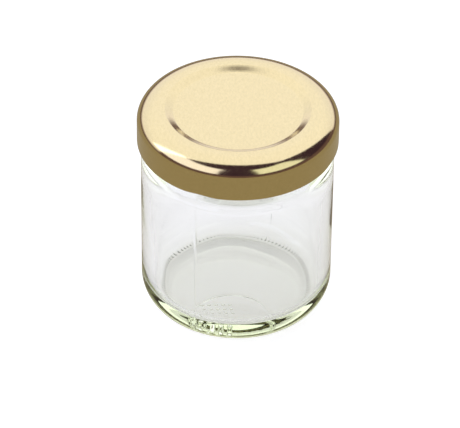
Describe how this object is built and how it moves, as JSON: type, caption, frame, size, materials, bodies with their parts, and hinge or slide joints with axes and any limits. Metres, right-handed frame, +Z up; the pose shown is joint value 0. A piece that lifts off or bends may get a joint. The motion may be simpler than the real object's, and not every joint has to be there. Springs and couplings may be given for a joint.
{
  "type": "twist-off preserve jar",
  "caption": "Small round clear glass preserve jar with a gold lacquered twist-off metal lid, turned-in lugs and a sealing ring inside the lid.",
  "frame": {"origin": "centre of the jar's bearing ring, on the surface that it stands on", "axes": "+Z up along the jar's axis, through the lid's centre; the front faces -Y, with one lug of the closed lid 22 degrees round from it towards -X"},
  "size_m": [0.0456, 0.0456, 0.0522],
  "materials": {
    "clear_glass": "gloss",
    "gold_lacquer": "satin",
    "sealing_compound": "matte"
  },
  "bodies": {
    "jar": {"glass_jar": "clear_glass"},
    "liner": {"sealing_liner": "sealing_compound"},
    "lid": {"lid_shell": "gold_lacquer"}
  },
  "joints": [
    {"name": "lid_rise", "type": "slide", "parent": "jar", "child": "liner", "axis": [0, 0, 1], "range_m": [0, 0.012]},
    {"name": "lid_twist", "type": "hinge", "parent": "liner", "child": "lid", "pos_m": [0, 0, 0.0475], "axis": [0, 0, 1], "range_deg": [0, 360]}
  ],
  "couplings": [
    {"joint": "lid_rise", "follows": "lid_twist", "m_per_rad": 0.0019099}
  ]
}
